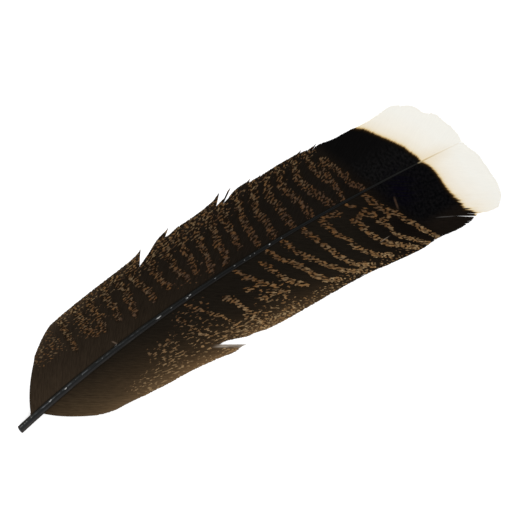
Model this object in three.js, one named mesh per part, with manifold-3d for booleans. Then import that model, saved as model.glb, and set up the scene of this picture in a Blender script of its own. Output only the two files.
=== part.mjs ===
// A turkey tail feather lying on a surface with its upper side up.
// Millimetres: +X runs from the cut quill end to the tip, +Y to the left vane, +Z up.
//
// Two measures place everything on the feather:
//   station: how far along the straight line from the quill end to the end of the shaft
//   out:     how far from the shaft's middle line, square to it, on either side

import * as THREE from 'three';
import Module from 'manifold-3d';
import { mergeVertices } from 'three/addons/utils/BufferGeometryUtils.js';

const wasm = await Module();
wasm.setup();

// The shaft
const SHAFT_LENGTH = 315;
const SIDE_BOW = 46.7;          // four times the shaft's sideways bow at mid length
const SIDE_SKEW = 5.9;          // moves the deepest part of the bow towards the quill
const ARCH = 4.5;               // how far the middle of the shaft stands off the surface
const QUILL_HALF_WIDTH = 2.45;
const SHAFT_END_HALF_WIDTH = 0.18;
const SHAFT_TAPER = 1.5;        // above 1 the quill end stays thick for longer
const EXTRA_DEPTH = 0.15;       // the middle of the shaft is deeper than it is wide
const END_CUT_SLANT = 0.12;     // the quill is cut slightly off square
const BORE_RADIUS = 1.7;        // the quill is hollow at its cut end
const BORE_DEPTH = 14;
const SHAFT_SIDES = 14;
const SHAFT_STEPS = 40;

// The vanes: sheets of barbs that leave the shaft at a slant
const VANE_GAP = 0.3;           // between the shaft and the root of a vane
const ROOT_THICKNESS = 0.9;
const EDGE_THICKNESS = 0.5;
const ROOT_HEIGHT = 0.25;       // above the shaft's middle, as a share of its half depth
const BARB_CURL = 0.0039;       // how much a barb leans over towards the tip, per mm out
const BARB_STEP = 0.25;         // step of the walk along a barb to the vane's edge
const COLUMN_SPACING = 6;
const COLUMN_DIVISIONS = 8;
const SLIT = 0.15;              // half the width of a split where it starts at the shaft
const OUTLINE_STEPS = 12;       // smooth steps between two points of an outline

// Each vane's edge is one run of [station, out] points from split to split. A run after the
// first starts at the bottom of the split that parts it from the run before.
const LEFT_VANE = {
	side: 1,
	slantAtQuill: 0.78,     // mm along the shaft for each mm out
	slantAtTip: 1.54,
	firstRoot: 9.5,
	lastRoot: 312,
	flatFrom: 33,           // from here outwards the vane lies on the surface
	runs: [
		[[10, 1], [15, 8.4], [20, 14.6], [30, 24.3], [40, 30.7], [50, 35.1], [58, 36.3],
			[90, 37], [110, 38.1], [122, 40.3], [130, 41.5]],
		[[116, 32.2], [125, 36.6], [134, 40], [143, 41.8]],
		[[136.5, 37.8], [145, 39.1], [157, 38.9], [170, 40], [177, 42]],
		[[171.5, 37.8], [179, 38.8], [182, 39.2]],
		[[176, 36.5], [183, 39], [194, 39.9], [213, 39.4], [230, 39.2], [247, 37], [262, 36.9],
			[267, 36.1], [276, 36.7], [288, 38.3], [296, 38.4], [340, 38.4]],
	],
};
const RIGHT_VANE = {
	side: -1,
	slantAtQuill: 0.97,
	slantAtTip: 1.73,
	firstRoot: 15.5,
	lastRoot: 312,
	flatFrom: 38,
	runs: [
		[[17, 1], [20, 5.2], [25, 11.3], [32, 17.5], [40, 23.2], [50, 27.6], [65, 31.2],
			[85, 35.3], [105, 37.8], [125, 41.8], [134, 43.2], [142, 42.4], [148, 40]],
		[[127.5, 34], [139, 36.7], [150, 40], [160, 42.8], [180, 44], [228, 44.6], [245, 46.1],
			[265, 47.3], [278, 46.3], [292, 46.8], [302, 45.6], [306, 43.5], [316, 45.3],
			[325, 45.3], [340, 45.3]],
	],
};

// Where the blunt tip ends: [out, station], from the right vane's corner to the left's.
const TIP_OUTLINE = [[-46, 319], [-43, 322.5], [-38, 325.3], [-33, 326], [-25, 325],
	[-9, 321.5], [-2.5, 318], [0, 316.8], [4, 317], [10, 315.5], [21.5, 308], [31, 300],
	[36, 292.5], [39, 286]];

const SHAFT_LOOK = { color: 0x1c2023, roughness: 0.35, metalness: 0 };
const LEFT_VANE_LOOK = { color: 0x241c15, roughness: 0.7, metalness: 0 };
const RIGHT_VANE_LOOK = { color: 0x2e2319, roughness: 0.7, metalness: 0 };

const lerp = THREE.MathUtils.lerp;

function shareOfShaft(station) {
	return THREE.MathUtils.clamp(station / SHAFT_LENGTH, 0, 1);
}

// The sideways bow runs on past the end of the shaft, so the tip of the vanes follows it.
function shaftLine(station) {
	const t = station / SHAFT_LENGTH;
	return t * (1 - t) * (SIDE_BOW + SIDE_SKEW * (1 - 2 * t));
}

function acrossShaft(station) {
	const step = 0.5;
	const rise = shaftLine(station + step) - shaftLine(station - step);
	return new THREE.Vector2(-rise, 2 * step).normalize();
}

function halfWidth(station) {
	const taper = 1 - shareOfShaft(station) ** SHAFT_TAPER;
	return lerp(SHAFT_END_HALF_WIDTH, QUILL_HALF_WIDTH, taper);
}

function halfDepth(station) {
	return halfWidth(station) * (1 + EXTRA_DEPTH * Math.sin(Math.PI * shareOfShaft(station)));
}

function shaftHeight(station) {
	return halfDepth(station) + ARCH * Math.sin(Math.PI * shareOfShaft(station));
}

function onFeather(station, out, height) {
	const across = acrossShaft(station);
	const y = shaftLine(station) + out * across.y;
	return new THREE.Vector3(station + out * across.x, y, height);
}

function moveVertices(geometry, place) {
	const at = geometry.attributes.position;
	const point = new THREE.Vector3();
	for (let i = 0; i < at.count; i++) {
		point.fromBufferAttribute(at, i);
		at.setXYZ(i, ...place(point).toArray());
	}
	return geometry;
}

function welded(geometry) {
	geometry.deleteAttribute('normal');
	geometry.deleteAttribute('uv');
	return mergeVertices(geometry, 1e-5);
}

function solidOf(geometry) {
	return new wasm.Manifold(new wasm.Mesh({
		numProp: 3,
		vertProperties: geometry.attributes.position.array,
		triVerts: new Uint32Array(geometry.index.array),
	}));
}

function geometryOf(solid) {
	const mesh = solid.getMesh();
	const geometry = new THREE.BufferGeometry();
	geometry.setAttribute('position', new THREE.BufferAttribute(mesh.vertProperties, 3));
	geometry.setIndex(new THREE.BufferAttribute(mesh.triVerts, 1));
	geometry.computeVertexNormals();
	return geometry;
}

// A unit cylinder standing on Y becomes the shaft: its height is the station.
function shaftBody() {
	const cylinder = new THREE.CylinderGeometry(1, 1, 1, SHAFT_SIDES, SHAFT_STEPS);
	return moveVertices(welded(cylinder), ({ x, y, z }) => {
		const station = (y + 0.5) * SHAFT_LENGTH;
		const out = z * halfWidth(station);
		const height = shaftHeight(station) + x * halfDepth(station);
		const endSlant = station === 0 ? END_CUT_SLANT * out : 0;
		return onFeather(station + endSlant, out, height);
	});
}

// The open bore of the cut quill, closing to a blunt cone like the pith inside it.
function quillBore() {
	const past = 2;
	const profile = [
		new THREE.Vector2(0, -past),
		new THREE.Vector2(BORE_RADIUS, -past),
		new THREE.Vector2(BORE_RADIUS, BORE_DEPTH * 0.7),
		new THREE.Vector2(0, BORE_DEPTH),
	];
	const bore = new THREE.LatheGeometry(profile, SHAFT_SIDES);
	return moveVertices(welded(bore), ({ x, y, z }) => {
		const height = shaftHeight(y) + x;
		return onFeather(y, z, height);
	});
}

function shaftGeometry() {
	return geometryOf(solidOf(shaftBody()).subtract(solidOf(quillBore())));
}

function smoothLine(points) {
	const corners = points.map(([x, y]) => new THREE.Vector2(x, y));
	return new THREE.SplineCurve(corners).getPoints((points.length - 1) * OUTLINE_STEPS);
}

function readLine(line, x) {
	const next = line.findIndex((point) => point.x > x);
	if (next === 0) return line[0].y;
	if (next < 0) return line[line.length - 1].y;
	const [a, b] = [line[next - 1], line[next]];
	return lerp(a.y, b.y, (x - a.x) / (b.x - a.x));
}

const tipLine = smoothLine(TIP_OUTLINE);

// The station that a barb has reached at a distance out from the shaft.
function barbStation(vane, root, out) {
	const slant = lerp(vane.slantAtQuill, vane.slantAtTip, shareOfShaft(root));
	return root + slant * (out + BARB_CURL * out * out);
}

// The root of the barb that passes through a point of the outline.
function rootThrough(vane, station, out) {
	let low = -SHAFT_LENGTH;
	let high = station;
	while (high - low > 0.01) {
		const middle = (low + high) / 2;
		if (barbStation(vane, middle, out) < station) low = middle;
		else high = middle;
	}
	return low;
}

// How far out a barb reaches before it meets the vane's edge or the blunt tip.
function barbReach(vane, edge, root) {
	let out = halfWidth(root) + VANE_GAP;
	let station = barbStation(vane, root, out);
	while (out < readLine(edge, station) && station < readLine(tipLine, vane.side * out)) {
		out += BARB_STEP;
		station = barbStation(vane, root, out);
	}
	return out;
}

// The barbs that the solid follows, two of them at each split: [root, reach].
function vaneColumns(vane) {
	const edges = vane.runs.map(smoothLine);
	const splits = vane.runs.slice(1).map(([[station, out]]) => rootThrough(vane, station, out));
	const limits = [vane.firstRoot, ...splits, vane.lastRoot];
	return edges.flatMap((edge, i) => {
		const from = limits[i] + (i > 0 ? SLIT : 0);
		const to = limits[i + 1] - (i < splits.length ? SLIT : 0);
		const steps = Math.max(2, Math.round((to - from) / COLUMN_SPACING));
		return Array.from({ length: steps + 1 }, (_, k) => {
			const root = lerp(from, to, k / steps);
			return [root, barbReach(vane, edge, root)];
		});
	});
}

// A vane thins from its root to its edge, and from the quill to the tip.
function vaneThickness(station, along) {
	return lerp(ROOT_THICKNESS, EDGE_THICKNESS, Math.max(along, shareOfShaft(station)));
}

// The underside falls from the shaft to the surface, where the outer part of it lies flat.
function underside(vane, station, out) {
	const t = Math.min(out / vane.flatFrom, 1);
	const middle = shaftHeight(station) + ROOT_HEIGHT * halfDepth(station);
	const root = Math.max(middle - vaneThickness(station, 0) / 2, 0);
	return root * (1 - t * t) ** 2;
}

// A unit box becomes the vane: X picks the barb, Y is the way along it, Z is top or bottom.
function vaneGeometry(vane) {
	const columns = vaneColumns(vane);
	const box = new THREE.BoxGeometry(1, 1, 1, columns.length - 1, COLUMN_DIVISIONS, 1);
	return moveVertices(welded(box), ({ x, y, z }) => {
		const [root, reach] = columns[Math.round((x + 0.5) * (columns.length - 1))];
		const along = 0.5 + vane.side * y;
		const out = lerp(halfWidth(root) + VANE_GAP, reach, along);
		const station = barbStation(vane, root, out);
		const thickness = z > 0 ? vaneThickness(station, along) : 0;
		const height = underside(vane, station, out) + thickness;
		return onFeather(station, vane.side * out, height);
	});
}

function piece(name, geometry, look) {
	const mesh = new THREE.Mesh(geometry, new THREE.MeshStandardMaterial(look));
	mesh.name = name;
	return mesh;
}

const group = new THREE.Group();
group.add(piece('shaft', shaftGeometry(), SHAFT_LOOK));
group.add(piece('left_vane', vaneGeometry(LEFT_VANE), LEFT_VANE_LOOK));
group.add(piece('right_vane', vaneGeometry(RIGHT_VANE), RIGHT_VANE_LOOK));

// The origin is under the middle of the feather's box, on the surface that it lies on.
const box = new THREE.Box3().setFromObject(group);
const middle = box.getCenter(new THREE.Vector3());
group.position.set(-middle.x, -middle.y, -box.min.z);

export default group;
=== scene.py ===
import math

import bpy
import numpy as np
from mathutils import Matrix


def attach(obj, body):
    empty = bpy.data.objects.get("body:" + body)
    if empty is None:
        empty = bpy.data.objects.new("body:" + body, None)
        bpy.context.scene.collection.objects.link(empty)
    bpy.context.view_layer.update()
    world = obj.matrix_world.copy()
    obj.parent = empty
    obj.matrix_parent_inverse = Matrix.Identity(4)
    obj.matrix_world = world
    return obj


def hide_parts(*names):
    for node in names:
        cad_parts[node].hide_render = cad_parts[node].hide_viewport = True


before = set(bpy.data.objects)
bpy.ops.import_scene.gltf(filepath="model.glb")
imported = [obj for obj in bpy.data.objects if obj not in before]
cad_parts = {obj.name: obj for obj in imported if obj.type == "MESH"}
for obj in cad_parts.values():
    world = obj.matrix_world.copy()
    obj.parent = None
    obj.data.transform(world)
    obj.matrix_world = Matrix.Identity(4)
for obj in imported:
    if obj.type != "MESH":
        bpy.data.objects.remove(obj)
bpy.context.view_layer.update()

# A turkey tail feather lying with its upper side up. Lengths are millimetres until they
# are placed. Two measures place everything on the feather:
#   station: how far along the straight line from the quill end to the end of the shaft
#   out:     how far from the shaft's middle line, square to it, on either side
MM = 0.001

# The shaft: how far it bows sideways and to which end that leans, how high it arches, its half
# widths and their taper, how much deeper than wide it gets, the slant and bevel of its cut
# end, its bore, its sides and how far apart its rings are
SHAFT_LENGTH = 315.0
SIDE_BOW = 46.7
SIDE_SKEW = 5.9
ARCH = 4.5
QUILL_HALF_WIDTH = 2.45
SHAFT_END_HALF_WIDTH = 0.18
SHAFT_TAPER = 1.5
EXTRA_DEPTH = 0.15
END_CUT_SLANT = 0.12
END_BEVEL = 0.1
BORE_RADIUS = 1.7
BORE_DEPTH = 14.0
SHAFT_SIDES = 32
SHAFT_STEP = 0.8
# The groove under it: between which stations it sets in, its half width in radians, its depth
GROOVE_FROM = (18, 60)
GROOVE_HALF_WIDTH = 0.35
GROOVE_DEPTH = 0.16
# The frame's origin, as a station and a distance from the chord
ORIGIN_STATION = 161.016
ORIGIN_SIDE = 4.17

# The vanes: their thickness, and how far above the shaft's middle they join it
ROOT_THICKNESS = 0.9
EDGE_THICKNESS = 0.5
ROOT_HEIGHT = 0.25
# The barbs: their spacing, the points on each (the last three stand closer), how they curve
# and fan out towards the tip, and over which length the bow of the first ones dies out
BARB_SPACING = 0.55
BARB_POINTS = 39
LAST_SHARES = (0.975, 0.99, 1)
BARB_CURL = 0.0039
FAN_FROM = 300.0
FAN_SLANT = 8.0
BOW_REACH = 12.0
# The last barb's root, the shortest barb, the furthest reach and the steps it is looked for
# in, and the room left on either side of a split's root
LAST_ROOT = 314.6
SHORTEST_BARB = 1.5
WIDEST = 60
REACH_STEP = 0.1
SPLIT_MARGIN = 0.15
# How deep they start inside the shaft, and how far out they are hooked to the first ones
ROOT_SINK = 0.35
LOOSE_FROM = 8
# Waves of the sheet and the scatter of single barbs, sideways and upwards, and the lowest
# height of a barb's middle line
SIDE_WAVE = 0.3
SIDE_WAVE_SIZE = (7, 11)
SIDE_SCATTER = 0.05
RISE = 0.05
RISE_WAVE = 0.12
RISE_WAVE_SIZE = (8, 14)
RISE_SCATTER = 0.01
LOWEST = 0.16
# Their tips: how uneven, and how many have broken off by how much
TIP_SCATTER = 0.08
TIP_LIMITS = (-0.3, 0.2)
BROKEN_SHARE = 0.03
BROKEN_BY = (0.2, 0.8)
# How a blade narrows: its share of the full width at each distance from the tip
NARROWING = ([0, 0.5, 1.5], [0.3, 0.8, 1])
# How far a gap or a bend spreads, and how far the last barb before a gap stands out
GAP_SPREAD = 2.2
GAP_RAMP = 5
GAP_FULLNESS = 1.6
BEND_RAMP = 12
WISP = 0.8
WISP_PLACE = 0.4
WISP_REACH = 0.35
# A barb's root times this is its place across the vane
ROW = 0.66
# Half the distance over which the slope of the sheet is measured
PROBE = 0.2

# The colours: how far the bars and flecks jump from barb to barb, what stands for no bar, and
# the soft edge and the fullness of a speckled zone
BAR_SHIFT = 0.8
BAR_SHIFT_SIZE = (1.3, 5)
FLECK_SCATTER = 0.1
NO_BAR = -3.0
ZONE_EDGE = 3
ZONE_SHARE = 0.9
# How much brighter the fine flecks near the edge are, and where they take over
EDGE_LIFT = 0.3
FINER_OVER = 5
# Where the pale ground starts to fade, and how far before a notch the edge's glow gives way
GLOW_FROM = 24
NOTCH_SHADE = 12
# How soft the black band's start is, and the border of the bare barbs
BLACK_EDGE = (-3, 5)
BARE_EDGE = 0.8
BARE_START = (-1.5, 2)
# How ragged the pale tip's boundary is, with more on its outer part on the right, and the
# share of it that single barbs have
RAGGED = 0.25
RAGGED_OUTER = 0.9
OUTER_PART = (26, 30)
RAGGED_SIZE = (1.5, 1.8)
SINGLE_RAGGED = 0.6
# The violet patch of the black band, a painted iridescent sheen: its middle and its reach,
# both as (station, out)
VIOLET_AT = (272, -9)
VIOLET_SIZE = (8, 10)

# Each vane: its side, its barbs' slants at the quill and at the tip, its first barb, the bow
# of the first barbs and how far out it goes, where the vane lies flat, and the runs of its
# edge, which a split parts
LEFT = {
    "side": 1,
    "slants": (0.78, 1.54),
    "first_root": 9.5,
    "bow": (1.8, 25),
    "flat_from": 33,
    "runs": [
        [(10, 1), (15, 8.4), (20, 14.6), (30, 24.3), (40, 30.7), (50, 35.1), (58, 36.3),
         (90, 37), (104, 37.3), (112, 37.7), (117, 38.3), (121, 38.9), (126, 39.5), (130, 39.6)],
        [(115.3, 32.2), (119.7, 33.8), (123.5, 35.3), (127, 36.9), (130, 38.3), (134.5, 39.7),
         (138, 40.4), (143, 41.4)],
        [(136.7, 37.7), (139, 37.5), (143.3, 38.3), (146.4, 38.7), (150, 38.6), (157, 38.7),
         (164, 39.2), (169, 39.9), (173, 40.6), (176, 41.7), (180, 42)],
        [(171.3, 36.7), (174, 37.4), (176.4, 38), (177.4, 38.1), (177.9, 39.5), (178.3, 40.8),
         (178.7, 41), (179.2, 41), (180.5, 41), (183, 41)],
        [(174.8, 35.2), (176.4, 36), (179, 36.8), (181.7, 37.9), (184.8, 38.9), (188.7, 39.4),
         (192.3, 39.5), (195.6, 39.6), (199, 39.6)],
        [(192.7, 37.4), (193.1, 38.1), (193.6, 38.5), (194.3, 38.7), (195.8, 38.7),
         (198.5, 38.7), (201.5, 38.5), (204.5, 38.8), (208, 38.9)],
        [(200.2, 37.1), (200.6, 37.8), (201.1, 38.2), (201.8, 38.4), (203.5, 38.6), (206, 38.7),
         (213, 39), (218, 39), (224.6, 39), (229.3, 39.2), (233, 39.2)],
        [(226.8, 37.4), (227.2, 38), (227.7, 38.4), (228.5, 38.5), (230, 38.5), (233.5, 38.1),
         (237, 38.3), (241, 37.8), (246, 37.6)],
        [(234.1, 35), (234.5, 36), (235, 36.8), (235.7, 37.3), (237, 37.6), (242.7, 37.5),
         (246.7, 36.8), (251, 36.4), (255.5, 36.5), (262, 36.5), (267, 36.1), (276, 36.7),
         (288, 38.3), (296, 38.4), (340, 38.4)],
    ],
}
RIGHT = {
    "side": -1,
    "slants": (0.97, 1.73),
    "first_root": 15.1,
    "bow": (2.4, 27),
    "flat_from": 38,
    "runs": [
        [(16.4, 1), (20, 5.7), (25, 11.3), (32, 17.5), (40, 23.2), (46, 26.5), (52, 28.6),
         (59, 30), (66, 31.5), (73, 33.1), (79, 34), (85, 35.3), (105, 37.8), (118, 40.2),
         (122, 40.9), (126.4, 41.9), (130.6, 42.8), (134.4, 43.2), (138.2, 42.7), (142, 42.5),
         (148, 41)],
        [(127.2, 34.1), (132, 34.7), (137, 36.5), (141, 38.1), (145.3, 39.7), (149.5, 40.2),
         (153.7, 41.3), (160, 42.7), (180, 44), (228, 44.6), (245, 46.1), (265, 47.1),
         (272, 46.4), (280, 45.7), (288, 46.3), (294.5, 46.3), (299.5, 45.7), (303.5, 44.6),
         (305.5, 43.5), (309, 43.7), (314, 45), (325, 45), (340, 45)],
    ],
}
# The blunt end of both vanes: (out, station), left positive
TIP_OUTLINE = [(-46, 319.5), (-44.8, 320.5), (-42, 323.1), (-37.5, 325.2), (-30.5, 325.7),
               (-23.4, 324.7), (-17.4, 323.7), (-11.3, 322.4), (-7.3, 320.6), (-2.5, 318.2),
               (0, 316.9), (3, 316.8), (6.3, 316.7), (11.3, 315), (15.8, 312.6), (20.9, 310.6),
               (23.4, 308.2), (24.6, 305.6), (26, 304), (28.4, 302.8), (31.9, 300.6),
               (34.4, 296.6), (36.6, 292.6), (38.4, 288), (40, 284)]

# Markings, all as (station, out) lines with out positive on either vane.
# The half width of a bar follows its name.
LEFT["bars"] = [
    (2.0, [(56, 15), (57, 22), (57, 28), (59, 35)]),
    (2.8, [(71, 15), (68, 20), (69, 26), (70, 30), (69, 36)]),
    (2.3, [(76, 14), (77, 17), (78, 22), (78, 28), (79, 34)]),
    (2.4, [(87, 14), (89, 19), (88, 24), (88, 28), (90, 34)]),
    (2.5, [(97, 10), (98, 14), (98, 19), (100, 24), (99, 30), (97, 36)]),
    (2.5, [(111, 11), (111, 15), (110, 20), (108, 25), (107, 29), (111, 33), (112, 38)]),
    (2.5, [(122, 12), (120, 17), (120, 21), (120, 25), (119, 29), (124, 33)]),
    (2.6, [(134, 10), (132, 14), (131, 18), (132, 23), (132, 28), (133, 33), (135, 38)]),
    (2.4, [(140, 10), (141, 13), (142, 18), (142, 22), (141, 26), (142, 30), (143, 37)]),
    (2.6, [(149, 6), (150, 11), (151, 16), (151, 20), (153, 25), (153, 30), (154, 37)]),
    (2.8, [(158, 5), (161, 10), (160, 14), (161, 19), (162, 24), (163, 30), (163, 38)]),
    (2.5, [(170, 9), (170, 13), (171, 18), (171, 22), (171, 26), (171, 29), (173, 36)]),
    (2.6, [(180, 4), (180, 9), (180, 14), (180, 20), (181, 25), (183, 30), (184, 37)]),
    (2.8, [(191, 2), (191, 6), (191, 12), (190, 18), (190, 23), (192, 29), (195, 34),
           (196, 38)]),
    (2.6, [(204, 1), (203, 6), (203, 10), (202, 15), (201, 21), (201, 26), (203, 31),
           (205, 37)]),
    (2.6, [(216, 1), (216, 6), (215, 11), (213, 17), (211, 22), (210, 27), (212, 31),
           (213, 37)]),
    (2.8, [(230, 3), (228, 7), (225, 12), (223, 17), (221, 23), (221, 29), (223, 36)]),
    (2.2, [(238, 1), (238, 6), (238, 12), (235, 17), (232, 22), (231, 28), (231, 37)]),
    (1.5, [(237, 15), (237, 20), (236, 26)]),
    (2.3, [(251, 1), (249, 5), (246, 8), (246, 12), (244, 17), (242, 22), (240, 26),
           (238, 29)]),
]
RIGHT["bars"] = [
    (0.9, [(117, 7), (118, 12), (121, 19), (123, 24), (127, 28)]),
    (1.2, [(125, 3), (126, 6), (129, 9), (132.5, 13), (135, 17), (139, 21), (141, 26),
           (143, 31), (146, 37)]),
    (2.0, [(146, 13), (150, 16), (151, 20), (152, 24), (154, 28), (155, 34), (158, 38)]),
    (1.8, [(160, 3), (162, 6), (164, 10), (167, 13), (170, 17), (174, 21), (178, 25)]),
    (1.5, [(159, 15), (163, 17), (168, 17)]),
    (1.6, [(166, 26), (171, 26), (176, 27), (181, 30)]),
    (2.0, [(176, 7), (178, 10), (180, 14), (182, 19), (184, 23), (186, 26), (189, 29),
           (193, 33)]),
    (1.8, [(182.5, 2), (184, 6), (187, 10), (190, 14), (194, 19)]),
    (2.3, [(194, 19), (197, 23), (199, 28), (203, 33), (207, 37), (212, 39)]),
    (1.9, [(193.5, 2), (196, 7), (198, 12), (201, 17), (205, 21), (208, 26), (213, 31),
           (217, 36), (222, 39), (229, 43)]),
    (2.0, [(208, 1), (208.5, 5), (211, 9), (213, 14), (215, 19), (217, 22), (219, 27),
           (222, 32), (226, 36), (229, 39), (235, 42)]),
    (2.0, [(220, 3), (222, 7), (223, 12), (226, 17), (229, 21), (230, 26), (234, 31),
           (238, 36), (242, 39), (248, 42)]),
    (1.7, [(221, 3), (227, 3), (232, 5)]),
    (1.0, [(236, 1), (239, 4), (242, 6)]),
    (2.0, [(237, 12), (239, 16), (241, 20), (243, 25), (246, 31), (250, 35), (256, 39),
           (261, 43), (266, 46)]),
    (2.0, [(240, 13), (245, 10), (247, 13), (250, 16)]),
    (2.2, [(251, 2), (251, 5), (253, 9), (255, 13), (258, 17), (260, 20)]),
    (1.9, [(250, 20), (254, 21), (258, 20), (261, 18), (263, 21), (265, 26), (268, 30),
           (271, 35), (275, 40), (278.5, 46)]),
    (1.7, [(252, 23), (255, 26), (256, 31), (259, 35), (263, 38), (267, 42), (272, 46)]),
]
# Scattered flecks: (first station, last, first out, last, how dense)
LEFT["specks"] = [
    (31, 52, 19, 36, 0.62), (56, 112, 29, 42, 0.57), (108, 178, 28, 42, 0.67),
    (176, 238, 34, 42, 0.55), (63, 83, 15, 31, 0.48), (126, 150, 4, 12, 0.25),
]
RIGHT["specks"] = [
    (65, 92, 22, 37, 0.53), (88, 108, 12, 38, 0.6), (108, 122, 26, 42, 0.5),
    (112, 136, 4, 20, 0.38), (112, 136, 20, 40, 0.5), (128, 164, 28, 44, 0.72),
    (160, 184, 20, 44, 0.5), (128, 182, 36, 48, 0.82), (176, 236, 37, 46, 0.5),
    (234, 264, 42, 48, 0.56),
]
# Where the black band starts and where the pale tip starts: (out, station), left positive
BLACK_FROM = [(-46, 281), (-36, 275), (-28, 269), (-20, 265), (-14, 261), (-2, 256), (3, 256),
              (8, 252), (17, 249), (29, 243), (38, 240)]
PALE_FROM = [(-47, 306), (-43, 305.3), (-41, 304.9), (-39.5, 303.6), (-37, 301), (-30, 299.9),
             (-27, 297.9), (-20, 296.1), (-15, 295.6), (-10, 294.8), (-5, 293.2), (-1, 290.9),
             (0, 289.6), (3, 289), (8, 286.5), (13, 284), (18.5, 280), (23.5, 276),
             (30, 271), (33.5, 268), (36.3, 264), (40, 258)]

# How pale the ground colour is. At the quill end (base) it starts at one strength, rises for
# each mm outwards, and fades along the vane over a length that grows outwards, to nothing
# between two stations. From the edge (edge) it fades inwards by a depth in mm.
LEFT["base_glow"] = (0.21, -0.004, 80, 0)
LEFT["base_end"] = (100, 260)
LEFT["edge_glow"] = ([15, 40, 60, 90, 120, 160, 205, 250],
                     [0.35, 0.3, 0.3, 0.22, 0.15, 0.12, 0.05, 0])
LEFT["edge_fade"] = 3.2
RIGHT["base_glow"] = (0.13, 0.019, 22, 1.35)
RIGHT["base_end"] = (65, 165)
RIGHT["edge_glow"] = ([15, 42, 67, 92, 117, 142, 167, 192, 217, 242, 262],
                      [0.25, 0.28, 0.48, 0.7, 1, 0.9, 0.62, 0.36, 0.11, 0.05, 0.03])
RIGHT["edge_fade"] = 5.8

# Where the hooked barbs have come apart: (station, out) of the inner end, how far out the
# gap runs, and how wide it opens in mm. A gap that stops short of the edge closes again.
TO_EDGE = 99
LEFT["gaps"] = [(113, 30.4, TO_EDGE, 0.9), (165.6, 36, 39.4, 1.3), (192.7, 37.2, TO_EDGE, 1.2),
                (200.2, 36.9, TO_EDGE, 1.1), (226.8, 37.2, TO_EDGE, 1.2),
                (233.8, 34.8, TO_EDGE, 1.5)]
RIGHT["gaps"] = [(292.1, 37.6, TO_EDGE, 1.8), (294.4, 37.2, TO_EDGE, 1.25),
                 (254.6, 5.3, 10, 0.95)]
# Tips bent back towards the quill beside a gap: (station, out, shift in mm, from out, reach)
LEFT["bends"] = [(115.3, 32.2, 4.2, 30, 6), (171.3, 36.7, 4.2, 34, 4)]
RIGHT["bends"] = []
# Barbs rubbed bare beside a gap: (station, out, reach across the barbs in mm)
LEFT["bare"] = []
RIGHT["bare"] = [(127.2, 34.1, 3.0)]
# Short straight marks: the middle (station, out), how far it leans along the feather for each
# mm outwards, half its width along the feather, half its reach outwards, and its tone
LEFT["marks"] = [((76.8, 3.5), -0.5, 0.7, 2.0, "#5c4e42")]
RIGHT["marks"] = [((264.9, 15.4), -0.14, 0.9, 4.6, "#3a2b21"),
                  ((248.5, 31.4), -6.0, 2.2, 0.5, "#7d7060"),
                  ((288.4, 36.4), 2.4, 1.0, 2.6, "#423f3d"),
                  # A painted shadow, cast by a lifted barb beside the rubbed patch
                  ((133.4, 40.0), 1.6, 0.9, 2.4, "#3f3124")]

# Where the black band changes to its outer tone, in mm outwards
LEFT["outer_black"] = (8, 24)
RIGHT["outer_black"] = (29, 38)

# The slope of the flecks, in mm outwards for each mm along: at one station, and its change
LEFT["fleck_slope"] = (-0.09, 80, 0.0023)
RIGHT["fleck_slope"] = (0.12, 80, 0.0022)
# How large the flecks are along the feather, against their size in the finish
LEFT["fleck_scale"] = ([45, 80, 120, 170, 210, 250], [0.85, 0.9, 1.05, 1.1, 1.1, 1.05])
RIGHT["fleck_scale"] = ([70, 110, 150, 230], [0.95, 1.1, 1.15, 1.15])
# How bright the flecks' middles are along the feather
LEFT["fleck_level"] = ([60, 110, 130, 180, 235, 250], [0.88, 0.83, 0.68, 0.58, 0.56, 0.42])
RIGHT["fleck_level"] = ([110, 150, 180, 200, 235, 255], [1.4, 1.15, 1.03, 0.86, 0.8, 0.66])

# How far the flecks turn rusty along the feather
LEFT["fleck_rust"] = ([60, 150], [0.6, 0.65])
RIGHT["fleck_rust"] = ([85, 170], [0.1, 0.55])


def share_of_shaft(station):
    return np.clip(station / SHAFT_LENGTH, 0, 1)


def shaft_line(station):
    t = station / SHAFT_LENGTH
    return t * (1 - t) * (SIDE_BOW + SIDE_SKEW * (1 - 2 * t))


def half_width(station):
    taper = 1 - share_of_shaft(station) ** SHAFT_TAPER
    return SHAFT_END_HALF_WIDTH + (QUILL_HALF_WIDTH - SHAFT_END_HALF_WIDTH) * taper


def half_depth(station):
    return half_width(station) * (1 + EXTRA_DEPTH * np.sin(np.pi * share_of_shaft(station)))


def shaft_height(station):
    return half_depth(station) + ARCH * np.sin(np.pi * share_of_shaft(station))


def on_feather(station, out, height):
    """Turns station, out and height into points of the frame, in metres."""
    rise = shaft_line(station + 0.5) - shaft_line(station - 0.5)
    size = np.hypot(rise, 1)
    x = station - out * rise / size - ORIGIN_STATION
    y = shaft_line(station) + out / size - ORIGIN_SIDE
    return np.stack(np.broadcast_arrays(x, y, height), -1) * MM


def smooth_line(points, steps=12):
    """A Catmull-Rom line through the points."""
    p = np.array(points, float)
    before, after = np.vstack([p[:1], p[:-2]]), np.vstack([p[2:], p[-1:]])
    t = np.linspace(0, 1, steps, endpoint=False)[None, :, None]
    a, b = p[:-1, None], p[1:, None]
    leave = (p[1:] - before)[:, None] / 2
    arrive = (after - p[:-1])[:, None] / 2
    line = (2 * a - 2 * b + leave + arrive) * t**3
    line = line + (3 * b - 3 * a - 2 * leave - arrive) * t**2 + leave * t + a
    return np.vstack([line.reshape(-1, 2), p[-1:]])


def read_line(line, x):
    return np.interp(x, line[:, 0], line[:, 1])


tip_line = smooth_line(TIP_OUTLINE)


def barb_station(vane, root, out):
    low, high = vane["slants"]
    slant = low + (high - low) * share_of_shaft(root)
    fan = np.clip((root - FAN_FROM) / (SHAFT_LENGTH - FAN_FROM), 0, 1) ** 3
    bow, span = vane["bow"]
    t = np.clip(out / span, 0, 1)
    bow = bow * 4 * t * (1 - t) * np.exp((vane["first_root"] - root) / BOW_REACH)
    return root - bow + slant * (1 + FAN_SLANT * fan) * (out + BARB_CURL * out * out)


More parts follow.
